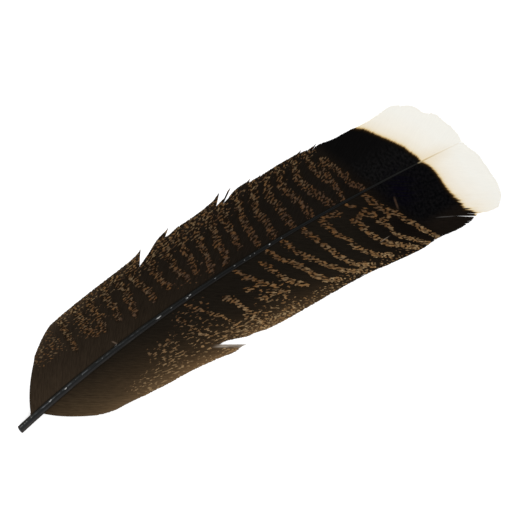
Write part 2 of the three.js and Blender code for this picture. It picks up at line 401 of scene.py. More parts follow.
def root_through(vane, station, out):
    """The root of the barb that passes through a point."""
    low, high = -SHAFT_LENGTH, station
    while high - low > 0.01:
        middle = (low + high) / 2
        if barb_station(vane, middle, out) < station:
            low = middle
        else:
            high = middle
    return low


def barb_reach(vane, edge, root):
    """How far out a barb gets before it meets the vane's edge or the blunt tip."""
    outs = np.arange(half_width(root), WIDEST, REACH_STEP)
    stations = barb_station(vane, root, outs)
    inside = (outs < read_line(edge, stations)) & (
        stations < read_line(tip_line, vane["side"] * outs)
    )
    return outs[np.argmin(inside)]


def underside(vane, station, out):
    t = np.minimum(out / vane["flat_from"], 1)
    middle = shaft_height(station) + ROOT_HEIGHT * half_depth(station)
    thickness = ROOT_THICKNESS + (EDGE_THICKNESS - ROOT_THICKNESS) * share_of_shaft(station)
    return np.maximum(middle - thickness / 2, 0) * (1 - t * t) ** 2


def soft_noise(rng, x, y, sizes):
    """Smooth random heights between -1 and 1, with knots this far apart along x and y."""
    u, v = x / sizes[0] + 4, y / sizes[1] + 4
    knots = rng.uniform(-1, 1, (int(u.max()) + 3, int(v.max()) + 3))
    i, j = u.astype(int), v.astype(int)
    a, b = u - i, v - j
    a, b = a * a * (3 - 2 * a), b * b * (3 - 2 * b)
    low = knots[i, j] * (1 - a) + knots[i + 1, j] * a
    high = knots[i, j + 1] * (1 - a) + knots[i + 1, j + 1] * a
    return low * (1 - b) + high * b


def line_distance(station, out, points):
    """The distance to a line through the points, and the side that each place lies on."""
    best = np.full(station.shape, 1e9)
    side = np.zeros(station.shape)
    for (x0, y0), (x1, y1) in zip(points[:-1], points[1:]):
        dx, dy = x1 - x0, y1 - y0
        t = np.clip(((station - x0) * dx + (out - y0) * dy) / (dx * dx + dy * dy), 0, 1)
        away = np.hypot(station - x0 - t * dx, out - y0 - t * dy)
        turn = np.sign((station - x0) * dy - (out - y0) * dx)
        side = np.where(away < best, turn, side)
        best = np.minimum(best, away)
    return best, side


def smooth_step(low, high, x):
    t = np.clip((x - low) / (high - low), 0, 1)
    return t * t * (3 - 2 * t)


def barb_roots(vane):
    """Every barb of a vane: where it leaves the shaft and how far out it reaches."""
    edges = [smooth_line(run) for run in vane["runs"]]
    splits = [root_through(vane, *run[0]) for run in vane["runs"][1:]]
    limits = [vane["first_root"], *splits, LAST_ROOT]
    roots, reaches = [], []
    for edge, start, stop in zip(edges, limits[:-1], limits[1:]):
        root = start + SPLIT_MARGIN
        while root < stop - SPLIT_MARGIN:
            reach = barb_reach(vane, edge, root)
            beside = barb_station(vane, root + REACH_STEP, reach)
            spread = beside - barb_station(vane, root, reach)
            roots.append(root)
            reaches.append(reach)
            root += BARB_SPACING / max(spread / REACH_STEP, 1)
    return np.array(roots), np.array(reaches)


def spread_gaps(vane, roots, out):
    """How far barbs move along the feather where the vane has come apart or is bent."""
    shift = np.zeros(out.shape)
    for station, inner, outer, opening in vane["gaps"]:
        split = root_through(vane, station, inner)
        t = np.clip((out - inner) / (outer - inner), 0, 1)
        if outer == TO_EDGE:
            width = opening * np.clip((out - inner) / GAP_RAMP, 0, 1)
        else:
            width = opening * GAP_FULLNESS * t**1.5 * np.sqrt(1 - t)
        away = roots[:, None] - split
        shift += np.sign(away) * width / 2 * np.exp(-np.abs(away) / GAP_SPREAD)
    for station, inner, back, outer, reach in vane["bends"]:
        split = root_through(vane, station, inner)
        away = split - roots[:, None]
        bent = back * smooth_step(outer, outer + BEND_RAMP, out)
        shift -= (away > 0) * bent * np.exp(-away / reach)
    return shift


def fleck_places(vane, station, out):
    """Measures in mm across and along the direction that the flecks take."""
    slope, start, change = vane["fleck_slope"]
    on = station - start
    lean = np.hypot(1, slope + change * on)
    scale = np.interp(station, *vane["fleck_scale"])
    return (out - slope * on - change * on * on / 2) / lean / scale, on * lean / scale


def bar_nearness(vane, station, out):
    """1 in the middle of a bar, 0 at its edge, and less beyond it."""
    bar = np.full(out.shape, NO_BAR)
    for half, line in vane["bars"]:
        distance, _ = line_distance(station, out, line)
        bar = np.maximum(bar, 1 - distance / half)
    return bar


def speckled_zones(vane, station, out):
    zone = np.zeros(out.shape)
    for first, last, inner, outer, density in vane["specks"]:
        inside = smooth_step(first - ZONE_EDGE, first + ZONE_EDGE, station)
        inside *= 1 - smooth_step(last - ZONE_EDGE, last + ZONE_EDGE, station)
        inside *= smooth_step(inner - ZONE_EDGE, inner + ZONE_EDGE, out)
        inside *= 1 - smooth_step(outer, outer + ZONE_EDGE, out)
        zone = np.maximum(zone, density * inside)
    return zone


def pale_ground(vane, station, out, inwards):
    glow, rise, fade, slower = vane["base_glow"]
    fade = fade + slower * out
    pale = (glow + rise * out) * np.exp(-np.maximum(station - GLOW_FROM, 0) / fade)
    pale = pale * (1 - smooth_step(*vane["base_end"], station))
    pale = pale + np.interp(station, *vane["edge_glow"]) * np.exp(-inwards / vane["edge_fade"])
    return np.clip(pale, 0, 1)


def bare_barbs(vane, root, out):
    bare = np.zeros(out.shape)
    for station, inner, reach in vane["bare"]:
        before = root_through(vane, station, inner) - root
        beside = (before > 0) * smooth_step(reach + BARE_EDGE, reach - BARE_EDGE, before)
        bare = np.maximum(bare, beside * smooth_step(*BARE_START, out - inner))
    return bare


def barb_guides(vane, seed):
    """The middle line of each barb, with what its blade and its colours need to know."""
    rng = np.random.default_rng(seed)
    roots, reaches = barb_roots(vane)
    count = len(roots)
    start = half_width(roots) - ROOT_SINK
    reaches = reaches + np.clip(rng.normal(0, TIP_SCATTER, count), *TIP_LIMITS)
    broken = rng.random(count) < BROKEN_SHARE
    reaches = np.where(broken, reaches - rng.uniform(*BROKEN_BY, count), reaches)
    for run in vane["runs"][1:]:
        before = root_through(vane, *run[0]) - roots
        wisp = WISP * np.exp(-np.abs(before - WISP_PLACE) / WISP_REACH)
        reaches = reaches + wisp * (before > 0)
    length = barb_station(vane, roots, reaches) - barb_station(vane, roots, start)
    keep = np.hypot(length, reaches - start) > SHORTEST_BARB
    roots, reaches, start, count = roots[keep], reaches[keep], start[keep], int(keep.sum())
    t = np.append(np.linspace(0, LAST_SHARES[0], BARB_POINTS - 2), LAST_SHARES[1:])
    out = start[:, None] + (reaches - start)[:, None] * t
    root = np.repeat(roots[:, None], BARB_POINTS, 1)
    station = barb_station(vane, root, out)
    free = smooth_step(0, LOOSE_FROM, out)
    station = station + free * SIDE_WAVE * soft_noise(rng, root, out, SIDE_WAVE_SIZE)
    station = station + free * SIDE_SCATTER * rng.normal(0, 1, (count, 1))
    station = station + spread_gaps(vane, roots, out)
    thickness = ROOT_THICKNESS + (EDGE_THICKNESS - ROOT_THICKNESS) * np.maximum(
        t, share_of_shaft(station)
    )
    height = underside(vane, station, out) + thickness / 2
    height = height + free * (RISE_WAVE * soft_noise(rng, root, out, RISE_WAVE_SIZE) + RISE)
    height = height + RISE_SCATTER * rng.normal(0, 1, (count, 1)) * free
    height = np.maximum(height, LOWEST)
    points = on_feather(station, vane["side"] * out, height)

    steps = np.linalg.norm(np.diff(points, axis=1), axis=2) / MM
    along = np.concatenate([np.zeros((count, 1)), np.cumsum(steps, 1)], 1)
    leaning = np.gradient(station, axis=1) / np.gradient(out, axis=1)
    gap = BARB_SPACING / np.hypot(1, leaning)
    girth = gap * np.interp(along[:, -1:] - along, *NARROWING)
    step = PROBE / np.hypot(leaning, 1)
    ahead = underside(vane, station + step, out - leaning * step)
    behind = underside(vane, station - step, out + leaning * step)
    roll = vane["side"] * np.arctan((behind - ahead) / (2 * PROBE))

    jumped = station + BAR_SHIFT * soft_noise(rng, root, out, BAR_SHIFT_SIZE)
    outermost = [reaches[(roots <= at) & (roots > at - NOTCH_SHADE)].max() for at in roots]
    inwards = np.array(outermost)[:, None] - out
    bare = bare_barbs(vane, root, out)
    signed = vane["side"] * out
    boundary = [(s, o) for o, s in PALE_FROM]
    distance, turn = line_distance(station, signed, boundary)
    ragged = RAGGED + RAGGED_OUTER * smooth_step(*OUTER_PART, -signed)
    past = distance * np.where(turn == 0, 1, turn)
    single = SINGLE_RAGGED * rng.uniform(-1, 1, (count, 1))
    past = past + ragged * (single + soft_noise(rng, root, out, RAGGED_SIZE))
    black = station - read_line(np.array(BLACK_FROM, float), signed)
    violet_off = np.hypot((station - VIOLET_AT[0]) / VIOLET_SIZE[0],
                          (signed - VIOLET_AT[1]) / VIOLET_SIZE[1])
    fleck_across, fleck_along = fleck_places(vane, station, out)
    finer_from = vane["look"]["finer_from"]
    near_edge = smooth_step(finer_from, finer_from + FINER_OVER, out)
    fields = {
        "girth": girth,
        "roll": roll,
        "station": station,
        "out": out,
        "row": root * ROW,
        "along": along,
        "fleck_across": fleck_across + FLECK_SCATTER * rng.normal(0, 1, (count, 1)),
        "fleck_along": fleck_along,
        "bar": bar_nearness(vane, jumped, out) - 2 * bare,
        "zone": ZONE_SHARE * speckled_zones(vane, station, out) * (1 - bare),
        "past": past,
        "black": smooth_step(*BLACK_EDGE, black),
        "violet": np.exp(-(violet_off**2)),
        "outer_black": smooth_step(*vane["outer_black"], out),
        "pale": pale_ground(vane, station, out, inwards),
        "worn": bare,
        "level": np.interp(station, *vane["fleck_level"]) * (1 + EDGE_LIFT * near_edge),
        "rust": np.interp(station, *vane["fleck_rust"]),
        "tint": np.repeat(rng.random((count, 1)), BARB_POINTS, 1),
        "barb": np.repeat(np.arange(count)[:, None] / count, BARB_POINTS, 1),
        "reach": along / along[:, -1:],
    }
    return points, fields


def plain_mesh(name, points, edges, faces, fields):
    """A mesh that stores the given fields on its points."""
    mesh = bpy.data.meshes.new(name)
    mesh.from_pydata(points.reshape(-1, 3).tolist(), edges, faces)
    for field, values in fields.items():
        stored = mesh.attributes.new(field, "FLOAT", "POINT")
        stored.data.foreach_set("value", values.astype(np.float32).ravel())
    return mesh


def put_in_scene(name, data):
    """Puts an object with this data into the scene."""
    made = bpy.data.objects.new(name, data)
    bpy.context.scene.collection.objects.link(made)
    return made


def guide_mesh(name, points, fields):
    count, length = points.shape[:2]
    index = np.arange(count * length).reshape(count, length)
    edges = np.stack([index[:, :-1], index[:, 1:]], -1).reshape(-1, 2)
    return plain_mesh(name, points, edges.tolist(), [], fields)


# The kinds of node that come up most: the type, its settings, and the sockets that links in
# order go to
MATH = "ShaderNodeMath"
PRODUCT = (MATH, {"operation": "MULTIPLY"}, (0, 1))
DIFFERENCE = (MATH, {"operation": "SUBTRACT"}, (0, 1))
QUOTIENT = (MATH, {"operation": "DIVIDE"}, (0, 1))
ABSOLUTE = (MATH, {"operation": "ABSOLUTE"}, (0,))
RANGE = ("ShaderNodeMapRange", {}, (0, 1, 2, 3, 4))
BLEND = ("ShaderNodeMix", {"data_type": "RGBA"}, (0, 6, 7))
SCALED = ("ShaderNodeVectorMath", {"operation": "SCALE"}, (0, "Scale"))


def add(tree, kind, links=None, stops=None, **settings):
    """Adds a node with its settings. Links go to sockets by name, by number or in order. A
    socket is fed by a node, another socket, an sRGB hex colour or a plain value."""
    kind, preset, order = kind if isinstance(kind, tuple) else (kind, {}, range(3))
    if isinstance(links, tuple):
        links = dict(zip(order, links))
    made = tree.nodes.new(kind)
    for name, value in {**preset, **settings}.items():
        setattr(made, name, value)
    for socket, source in (links or {}).items():
        if isinstance(source, bpy.types.Node):
            source = next(output for output in source.outputs if output.enabled)
        if isinstance(source, bpy.types.NodeSocket):
            tree.links.new(source, made.inputs[socket])
        elif isinstance(source, str) and source.startswith("#"):
            made.inputs[socket].default_value = linear(source)
        else:
            made.inputs[socket].default_value = source
    if stops:
        ramp = made.color_ramp.elements
        ramp[0].position, ramp[0].color = stops[0]
        ramp[-1].position, ramp[-1].color = stops[-1]
        for place, colour in stops[1:-1]:
            ramp.new(place).color = colour
    return made


def linear(hex_colour):
    """An sRGB hex colour as linear red, green, blue and alpha."""
    parts = [int(hex_colour[i:i + 2], 16) / 255 for i in (1, 3, 5)]
    return (*(c / 12.92 if c <= 0.04045 else ((c + 0.055) / 1.055) ** 2.4 for c in parts), 1)


def blade_tree():
    """Sweeps a thin ridged blade along every guide line."""
    tree = bpy.data.node_groups.new("barb_blades", "GeometryNodeTree")
    face = tree.interface
    face.new_socket("Guides", in_out="INPUT", socket_type="NodeSocketGeometry")
    for name in ("Blade width", "Ridge height", "Belly depth"):
        face.new_socket(name, in_out="INPUT", socket_type="NodeSocketFloat")
    face.new_socket("Finish", in_out="INPUT", socket_type="NodeSocketMaterial")
    face.new_socket("Blades", in_out="OUTPUT", socket_type="NodeSocketGeometry")
    given = add(tree, "NodeGroupInput").outputs
    lines = add(tree, "GeometryNodeMeshToCurve", {"Mesh": given["Guides"]})
    lines = add(tree, "GeometryNodeSetCurveNormal", {"Curve": lines}, mode="Z_UP")
    roll = add(tree, "GeometryNodeInputNamedAttribute", {"Name": "roll"}, data_type="FLOAT")
    lines = add(tree, "GeometryNodeSetCurveTilt", {"Curve": lines, "Tilt": roll})
    sizes = {"Width": "Blade width", "Top Height": "Ridge height", "Bottom Height": "Belly depth"}
    sizes = {socket: given[name] for socket, name in sizes.items()}
    section = add(tree, "GeometryNodeCurvePrimitiveQuadrilateral", sizes, mode="KITE")
    place = add(tree, "ShaderNodeSeparateXYZ", {0: add(tree, "GeometryNodeInputPosition")})
    half = add(tree, PRODUCT, (given["Blade width"], 0.5))
    across = add(tree, QUOTIENT, (place.outputs["X"], half))
    rise = add(tree, MATH, {0: place.outputs["Y"]}, operation="SIGN")
    store = "GeometryNodeStoreNamedAttribute"
    for name, value in (("across", across), ("rise", rise)):
        stored = {"Geometry": section, "Name": name, "Value": value}
        section = add(tree, store, stored, data_type="FLOAT", domain="POINT")
    girth = add(tree, "GeometryNodeInputNamedAttribute", {"Name": "girth"}, data_type="FLOAT")
    sweep = {"Curve": lines, "Profile Curve": section, "Scale": girth, "Fill Caps": True}
    blades = add(tree, "GeometryNodeCurveToMesh", sweep)
    flat = {"Geometry": blades, "Shade Smooth": False}
    flat = add(tree, "GeometryNodeSetShadeSmooth", flat)
    solid = add(tree, "GeometryNodeRealizeInstances", {"Geometry": flat})
    dressed = {"Geometry": solid, "Material": given["Finish"]}
    dressed = add(tree, "GeometryNodeSetMaterial", dressed)
    add(tree, "NodeGroupOutput", {0: dressed})
    return tree


def blades_on(tree, name, guides, material, sizes):
    """Runs the blade tree on the guide lines and keeps its result as a plain mesh."""
    carrier = put_in_scene(name, guides)
    modifier = carrier.modifiers.new("Blades", "NODES")
    modifier.node_group = tree
    sockets = {s.name: s.identifier for s in tree.interface.items_tree if s.in_out == "INPUT"}
    for socket, value in {**sizes, "Finish": material}.items():
        modifier[sockets[socket]] = value
    bpy.context.view_layer.update()
    depsgraph = bpy.context.evaluated_depsgraph_get()
    mesh = bpy.data.meshes.new_from_object(carrier.evaluated_get(depsgraph))
    mesh.name = name
    carrier.modifiers.remove(modifier)
    carrier.data = mesh
    return carrier


def read_field(mesh, name):
    values = np.zeros(len(mesh.vertices), np.float32)
    mesh.attributes[name].data.foreach_get("value", values)
    return values


# How much of its share of the map a strip fills, across and along
STRIP_HALF = 0.45
STRIP_START = 0.01
STRIP_LENGTH = 0.48


def strip_map(mesh, count):
    """Lays each barb out as a strip of its own: its upper faces above, its lower faces below."""
    corners = np.zeros(len(mesh.loops), int)
    mesh.loops.foreach_get("vertex_index", corners)
    starts = np.zeros(len(mesh.polygons), int)
    mesh.polygons.foreach_get("loop_start", starts)
    rise = read_field(mesh, "rise")[corners]
    upper = np.maximum.reduceat(rise, starts) > 0.5
    totals = np.diff(np.append(starts, len(corners)))
    upper = np.repeat(upper, totals)
    across = 0.5 + STRIP_HALF * read_field(mesh, "across")[corners]
    u = read_field(mesh, "barb")[corners] + across / count
    v = STRIP_START + STRIP_LENGTH * read_field(mesh, "reach")[corners] + np.where(upper, 0.5, 0)
    layer = mesh.uv_layers.new(name="OFBake")
    layer.data.foreach_set("uv", np.stack([u, v], -1).astype(np.float32).ravel())


def empty_finish(name, fields):
    """A material without nodes, and the stored fields that it reads."""
    material = bpy.data.materials.new(name)
    material.use_nodes = True
    tree = material.node_tree
    tree.nodes.clear()
    read = {key: add(tree, "ShaderNodeAttribute", attribute_name=key) for key in fields}
    return material, tree, {key: node.outputs["Fac"] for key, node in read.items()}


def grain(tree, places, sizes, detail, *span):
    """Noise on two measures, each divided by the size of its features. Where a span is given,
    the noise between its first two values becomes 0 to 1, or what comes after them."""
    u, v = (add(tree, QUOTIENT, pair) for pair in zip(places, sizes))
    place = add(tree, "ShaderNodeCombineXYZ", (u, v))
    inputs = {"Vector": place, "Scale": 1.0, "Detail": detail}
    noise = add(tree, "ShaderNodeTexNoise", inputs, noise_dimensions="2D")
    return add(tree, RANGE, (noise, *span)) if span else noise


# Places on the vane, in mm outwards, where a value goes over from its inner to its outer one
COVER_OVER = (12.0, 34.0)
FADE_OVER = (8.0, 30.0)
SHADE_OVER = (10.0, 40.0)
# Stations between which the ground changes
GROUND_BASE_OVER = (55.0, 110.0)
GROUND_LAST_OVER = (232.0, 262.0)
# Where a bar is full, how far it darkens the ground between its flecks, the cover over which
# flecks set in, and the noise that a fleck needs at no cover and at full cover
BAR_FULL = 0.42
BAR_DARKENS = 0.6
COVER_FROM = (0.02, 0.12)
FLECK_NEEDS = (0.86, 0.38)
# Over which noise a fleck's edge and its bright core rise
FLECK_EDGE = (-0.02, 0.03)
FLECK_CORE = (-0.02, 0.12)
# The patches in which flecks stay dim or turn rusty: their size in mm across and along, the
# noise over which they give way, and how bright a dim one stays
DIM_SIZE = (1.3, 2.6)
DIM_OVER = (0.3, 0.6)
DIM_LEVEL = 0.35
RUSTY_SIZE = (2.2, 3.5)
RUSTY_OVER = (0.36, 0.62)
# The mottling, and the breaks in the violet patch of painted sheen: their size in mm, and
# their run of noise
MOTTLE_SIZE = (1.5, 1.8)
NOISE_RUN = (0.3, 0.7)
BREAK_SIZE = (1.2, 5.0)
BREAK_OVER = (0.36, 0.54)
# The share of a mark's half width that is full, and of its half reach
MARK_CORE = 0.3
MARK_ENDS = 0.5
# The streaks: their size in mm, their strength on the body, that of single barbs, and from
# which strength to which they show on the tip, and how far
STREAK_SIZE = (0.4, 6.0)
STREAK_STRENGTH = (0.8, 1.21)
TINT_STRENGTH = (0.9, 1.1)
FAINT_OVER = (0.75, 1.25)
FAINT_STRENGTH = (0.982, 1.01)
# The warm tone beside the shaft: how far out it goes, how strong it is, and between which
# distances past the band's end it fades out and sets in
WARM_OUT = 7.0
WARM_STRENGTH = 0.55
WARM_ENDS = (22.0, 2.0)
WARM_STARTS = (0.4, 1.4)
# Where the body's colours give way to the tip's, in mm past the band's end
TIP_OVER = (-2.5, -1.0)
# How far the underside shows its own tone, and over which tilts of a face, from -1 for
# straight down, that fades
UNDERSIDE_STRENGTH = 0.45
UNDERSIDE_OVER = (-0.3, 0.0)
# The fields that the barb finish reads
SEEN = ("station", "out", "row", "along", "fleck_across", "fleck_along", "bar", "zone", "past",
        "black", "violet", "outer_black", "pale", "worn", "level", "rust", "tint")
# From the black band to the pale tip: mm past the boundary, and the colour there
FRINGE = [(-3.0, "#080707"), (-1.8, "#100b06"), (-0.9, "#1c1309"), (-0.3, "#402e17"),
          (0.3, "#c9a870"), (0.9, "#eddcb6"), (1.8, "#f6ead2"), (3.5, "#f8f0df"),
          (8.0, "#fbf6ea"), (17.0, "#fcfaf2")]
WARM_TIP = "#f0debb"
# Tones that both vanes share
GROUND_LAST = "#0d0907"
BAR_GAP = "#1a1107"
WORN = "#94897c"
UNDERSIDE = "#2b2622"
# What each vane is coloured with. bar_cover is how full the bars are, near the shaft and near
# the edge, and bar_fade is where they start to fade in, in half widths from their middle.
# Fleck sizes are mm across and along the flecks, and finer_from is where the fine ones start.
LEFT["look"] = {
    "ground_dark": "#16120e",
    "ground_base": "#6b5844",
    "ground_pale": "#6a5640",
    "fleck_inner": "#584738",
    "fleck_outer": "#847051",
    "fleck_rusty": "#714a20",
    "fleck_dim": "#33231a",
    "fleck_size": (0.85, 2.5),
    "edge_fleck_size": (0.72, 2.0),
    "finer_from": 29.0,
    "bar_cover": (0.79, 0.72),
    "bar_fade": (-0.35, -0.45),
    "black": "#040404",
    "black_worn": "#141313",
    "violet_sheen": "#06050f",
    "black_outer": "#090808",
}
RIGHT["look"] = {
    "ground_dark": "#18140f",
    "ground_base": "#6b563d",
    "ground_pale": "#73593c",
    "fleck_inner": "#5a4735",
    "fleck_outer": "#a08560",
    "fleck_rusty": "#7f5426",
    "fleck_dim": "#402c1b",
    "fleck_size": (0.78, 2.6),
    "edge_fleck_size": (0.5, 1.8),
    "finer_from": 33.0,
    "bar_cover": (0.84, 0.92),
    "bar_fade": (-0.45, -0.1),
    "black": "#010102",
    "black_worn": "#0e0d0e",
    "violet_sheen": "#04020d",
    "black_outer": "#15100c",
}


def flecked_ground(tree, field, look):
    """The dark ground with its flecks: small dashes of noise, let through where a bar or a
    speckled zone lies. Each is palest in its middle, and some stay dim."""
    fade = add(tree, RANGE, (field["out"], *FADE_OVER, *look["bar_fade"]))
    barred = add(tree, RANGE, (field["bar"], fade, BAR_FULL))
    cover = add(tree, RANGE, (field["out"], *COVER_OVER, *look["bar_cover"]))
    cover = add(tree, PRODUCT, (barred, cover))
    cover = add(tree, MATH, (cover, field["zone"]), operation="MAXIMUM")
    limit = add(tree, RANGE, (cover, 0.0, 1.0, *FLECK_NEEDS))
    places = (field["fleck_across"], field["fleck_along"])
    dashes = grain(tree, places, look["fleck_size"], 0.0)
    finer = grain(tree, places, look["edge_fleck_size"], 0.0)
    start = look["finer_from"]
    nearer = add(tree, RANGE, (field["out"], start, start + FINER_OVER))
    dashes = add(tree, "ShaderNodeMix", {0: nearer, 2: dashes, 3: finer})
    above = add(tree, DIFFERENCE, (dashes, limit))
    fleck = add(tree, RANGE, (above, *FLECK_EDGE))
    covered = add(tree, RANGE, (cover, *COVER_FROM))
    fleck = add(tree, PRODUCT, (fleck, covered))
    core = add(tree, RANGE, (above, *FLECK_CORE))
    dimmed = grain(tree, places, DIM_SIZE, 0.0, *DIM_OVER, DIM_LEVEL)
    core = add(tree, PRODUCT, (core, dimmed))
    core = add(tree, PRODUCT, (core, field["level"]))
    further_out = add(tree, RANGE, (field["out"], *SHADE_OVER))
    bright = add(tree, BLEND, (further_out, look["fleck_inner"], look["fleck_outer"]))
    rusty = grain(tree, places, RUSTY_SIZE, 0.0, *RUSTY_OVER)
    rusty = add(tree, PRODUCT, (rusty, field["rust"]))
    bright = add(tree, BLEND, (rusty, bright, look["fleck_rusty"]))
    fleck_tone = add(tree, BLEND, (core, look["fleck_dim"], bright))

    # Between the flecks it is pale at the quill end and the edge, and dark elsewhere
    further = add(tree, RANGE, (field["station"], *GROUND_BASE_OVER))
    pale_tone = add(tree, BLEND, (further, look["ground_base"], look["ground_pale"]))
    further = add(tree, RANGE, (field["station"], *GROUND_LAST_OVER))
    dark_tone = add(tree, BLEND, (further, look["ground_dark"], GROUND_LAST))
    ground = add(tree, BLEND, (field["pale"], dark_tone, pale_tone))
    warmth = add(tree, PRODUCT, (barred, BAR_DARKENS))
    ground = add(tree, BLEND, (warmth, ground, BAR_GAP))
    return add(tree, BLEND, (fleck, ground, fleck_tone))


def black_band(tree, field, look):
    """Mottled black with a violet patch of painted iridescent sheen, and a browner outer part."""
    mottle = grain(tree, (field["station"], field["out"]), MOTTLE_SIZE, 4.0, *NOISE_RUN)
    band = add(tree, BLEND, (mottle, look["black"], look["black_worn"]))
    broken = grain(tree, (field["row"], field["out"]), BREAK_SIZE, 1.0, *BREAK_OVER)
    violet = add(tree, PRODUCT, (field["violet"], broken))
    outer = field["outer_black"]
    for share, tone in ((violet, look["violet_sheen"]), (outer, look["black_outer"])):
        band = add(tree, BLEND, (share, band, tone))
    return band


def wear_and_painted_shadow(tree, field, body, marks):
    """Barbs rubbed bare beside a gap, and short straight marks, of which one dark mark on the
    right vane is a painted shadow under a lifted barb.
    """
    body = add(tree, BLEND, (field["worn"], body, WORN))
    for (station, out), lean, half_across, half_reach, tone in marks:
        beyond = add(tree, DIFFERENCE, (field["out"], out))
        line = add(tree, MATH, (beyond, lean, station), operation="MULTIPLY_ADD")
        away = add(tree, DIFFERENCE, (field["station"], line))
        away = add(tree, ABSOLUTE, {0: away})
        mark = add(tree, RANGE, (away, half_across, half_across * MARK_CORE))
        beyond = add(tree, ABSOLUTE, {0: beyond})
        ends = add(tree, RANGE, (beyond, half_reach, half_reach * MARK_ENDS))
        mark = add(tree, PRODUCT, (mark, ends))
        body = add(tree, BLEND, (mark, body, tone))
    return body


def pale_tip(tree, field, streak):
    """The cream tip past the band, with its tan border, warmer beside the shaft."""
    first, last = FRINGE[0][0], FRINGE[-1][0]
    stops = [((mm - first) / (last - first), linear(tone)) for mm, tone in FRINGE]
    fringe = add(tree, RANGE, (field["past"], first, last))
    tip = add(tree, "ShaderNodeValToRGB", {0: fringe}, stops=stops)
    beside = add(tree, RANGE, (field["out"], WARM_OUT, 0.0, 0.0, WARM_STRENGTH))
    fading = add(tree, RANGE, (field["past"], *WARM_ENDS))
    beside = add(tree, PRODUCT, (beside, fading))
    fading = add(tree, RANGE, (field["past"], *WARM_STARTS))
    beside = add(tree, PRODUCT, (beside, fading))
    tip = add(tree, BLEND, (beside, tip, WARM_TIP))
    faint = add(tree, RANGE, (streak, *FAINT_OVER, *FAINT_STRENGTH))
    return add(tree, SCALED, (tip, faint))


def barb_finish(name, vane):
    """Barb keratin, grown with melanin in it and hooked into a sheet. The eye gets a matt,
    silky surface with fine streaks along the barbs, and flecks where the pigment is rusty."""
    look = vane["look"]
    material, tree, field = empty_finish(name, SEEN)
    body = flecked_ground(tree, field, look)
    band = black_band(tree, field, look)
    body = add(tree, BLEND, (field["black"], body, band))
    body = wear_and_painted_shadow(tree, field, body, vane["marks"])

    # Fine streaks along the barbs
    places = (field["row"], field["along"])
    streak = grain(tree, places, STREAK_SIZE, 2.0, *NOISE_RUN, *STREAK_STRENGTH)
    tint = add(tree, RANGE, (field["tint"], 0.0, 1.0, *TINT_STRENGTH))
    streak = add(tree, PRODUCT, (streak, tint))
    body = add(tree, SCALED, (body, streak))

    pale = add(tree, RANGE, (field["past"], *TIP_OVER))
    tip = pale_tip(tree, field, streak)
    colour = add(tree, BLEND, (pale, body, tip))

    # The underside is duller
    facing = add(tree, "ShaderNodeNewGeometry").outputs["Normal"]
    height = add(tree, "ShaderNodeSeparateXYZ", {0: facing}).outputs["Z"]
    dull = add(tree, RANGE, (height, *UNDERSIDE_OVER, UNDERSIDE_STRENGTH, 0.0))
    colour = add(tree, BLEND, (dull, colour, UNDERSIDE))
    surface = {"Base Color": colour, "Roughness": 0.62, "IOR": 1.55, "Specular IOR Level": 0.015}
    shader = add(tree, "ShaderNodeBsdfPrincipled", surface)
    add(tree, "ShaderNodeOutputMaterial", {0: shader})
    return material



# The shaft's rings: the last ones outside, the first ones inside the bore, how far apart the
# others stand in it, and the share of its depth past which it closes
RIM_OUTSIDE = (0.25, 0.0)
RIM_INSIDE = (0.0, 0.3)
BORE_STEP = 1.5
BORE_ROUND_FROM = 0.7
BORE_END = (0.3, 0.6, 0.9)
# Where the horn is rubbed pale: (station, out, half length, how pale), and the half width
SCUFFS = [(2.5, 1, 1.5, 0.35), (6, 0.9, 2.2, 0.4), (10.5, 0.9, 1.4, 0.35),
          (14.5, 0.8, 0.8, 0.2), (25.5, 0.8, 1.1, 0.75), (37.3, 0.5, 0.8, 1.0),
          (45, 0.7, 0.8, 0.35), (50, 0.6, 0.7, 0.35), (65.5, 0.5, 0.8, 0.5),
          (76.5, 1.9, 1.2, 0.4), (107, 0.0, 1.8, 0.85), (116.5, 0.4, 0.8, 0.4),
          (127.5, -0.2, 0.9, 0.75), (130, 0.3, 0.8, 0.7), (148, 0.3, 0.7, 0.5),
          (162, 0.4, 0.9, 0.5), (168.5, 0.0, 0.6, 0.5), (172.5, 0.3, 0.6, 0.5),
          (175.7, 0.3, 0.6, 0.5), (186.3, 0.3, 0.6, 0.8), (194, -0.2, 0.6, 0.5)]
SCUFF_HALF_WIDTH = 0.35


def shaft_rings():
    """The shaft's rings from the tip to the cut end, over its rim and down the bore: station,
    half width, half depth, and whether the ring follows the slant of the cut."""
    rings = []
    for station in (*np.arange(SHAFT_LENGTH, 0.4, -SHAFT_STEP), *RIM_OUTSIDE):
        bevel = END_BEVEL if station == 0 else 0
        sizes = (half_width(station) - bevel, half_depth(station) - bevel)
        rings.append((station, *sizes, station == 0))
    for station in (*RIM_INSIDE, *np.arange(BORE_STEP, BORE_DEPTH * BORE_ROUND_FROM, BORE_STEP)):
        rings.append((station, BORE_RADIUS, BORE_RADIUS, station == 0))
    for share in BORE_END:
        station = BORE_DEPTH * (BORE_ROUND_FROM + (1 - BORE_ROUND_FROM) * share)
        radius = BORE_RADIUS * (1 - share)
        rings.append((station, radius, radius, False))
    return rings


